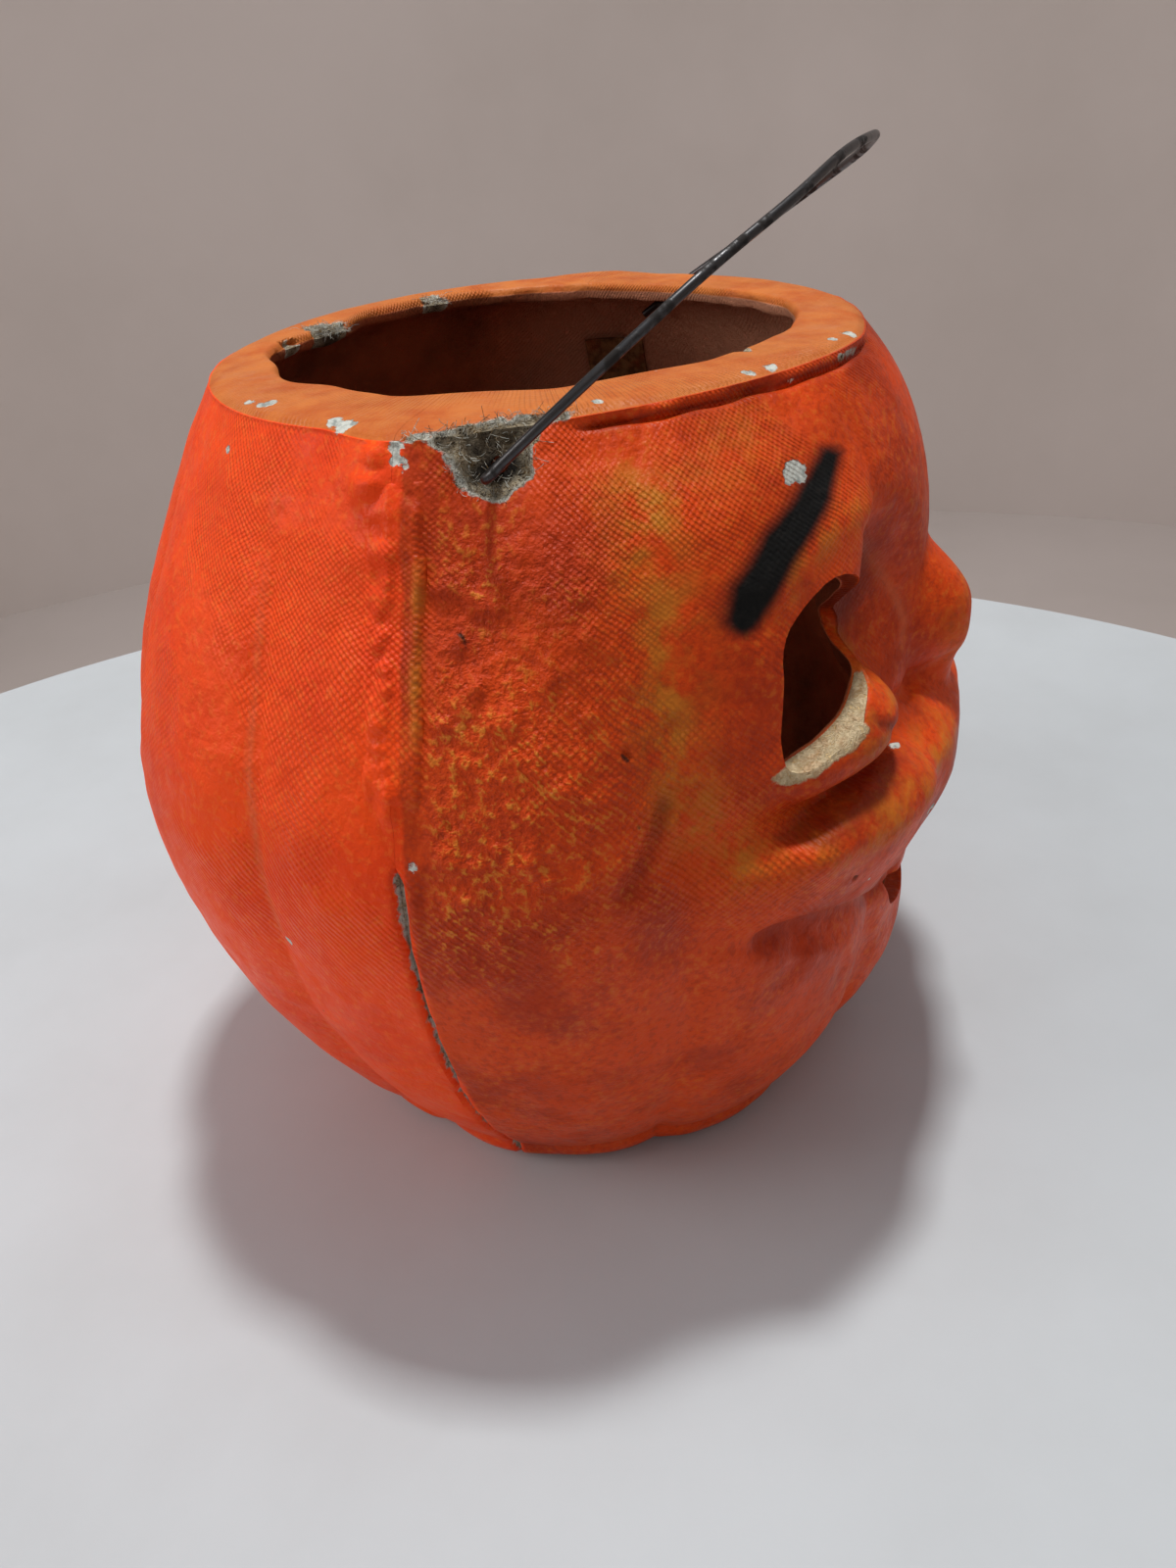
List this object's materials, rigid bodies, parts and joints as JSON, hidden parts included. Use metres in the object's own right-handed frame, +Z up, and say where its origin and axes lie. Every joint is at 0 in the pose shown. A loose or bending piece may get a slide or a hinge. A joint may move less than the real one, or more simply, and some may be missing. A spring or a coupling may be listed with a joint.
{
  "type": "jack-o-lantern",
  "caption": "Moulded pulp pumpkin lantern with a relief face, cut eyes and mouth, an open top with a flat inward lip, a hinged wire bail and a candle cup on a tray inside.",
  "frame": {"origin": "middle of the lantern's box at the plane it stands on", "axes": "the face looks along -Y, +X to the lantern's left-hand side in front view, +Z up; the bail's hinge line runs along X"},
  "size_m": [0.1568, 0.1446, 0.1616],
  "materials": {
    "painted_pulp_face": "thin worn orange paint over wire-cloth-textured moulded pulp",
    "painted_pulp_rear": "thin red-orange paint over moulded pulp",
    "painted_tape_near": "painted paper strip, pasted over the seam",
    "painted_tape_far": "painted paper strip, pasted over the seam",
    "gummed_tape": "brown gummed paper, matte",
    "tinplate_tray": "dull tinplate",
    "tinplate_cup": "dull tinplate",
    "brassed_rivet": "dull brassed steel",
    "dark_steel_wire": "dark drawn steel wire with a dull shine"
  },
  "bodies": {
    "lantern": {"front_shell": "painted_pulp_face", "rear_shell": "painted_pulp_rear", "seam_tape_near": "painted_tape_near", "seam_tape_far": "painted_tape_far", "inner_seam_tape": "gummed_tape", "candle_tray": "tinplate_tray", "candle_cup": "tinplate_cup", "split_rivet": "brassed_rivet"},
    "bail": {"bail_wire": "dark_steel_wire"}
  },
  "joints": [
    {"name": "bail_swing", "type": "hinge", "parent": "lantern", "child": "bail", "pos_m": [0, -0.01159, 0.1308], "axis": [1, 0, 0], "range_deg": [-115, 45]}
  ]
}
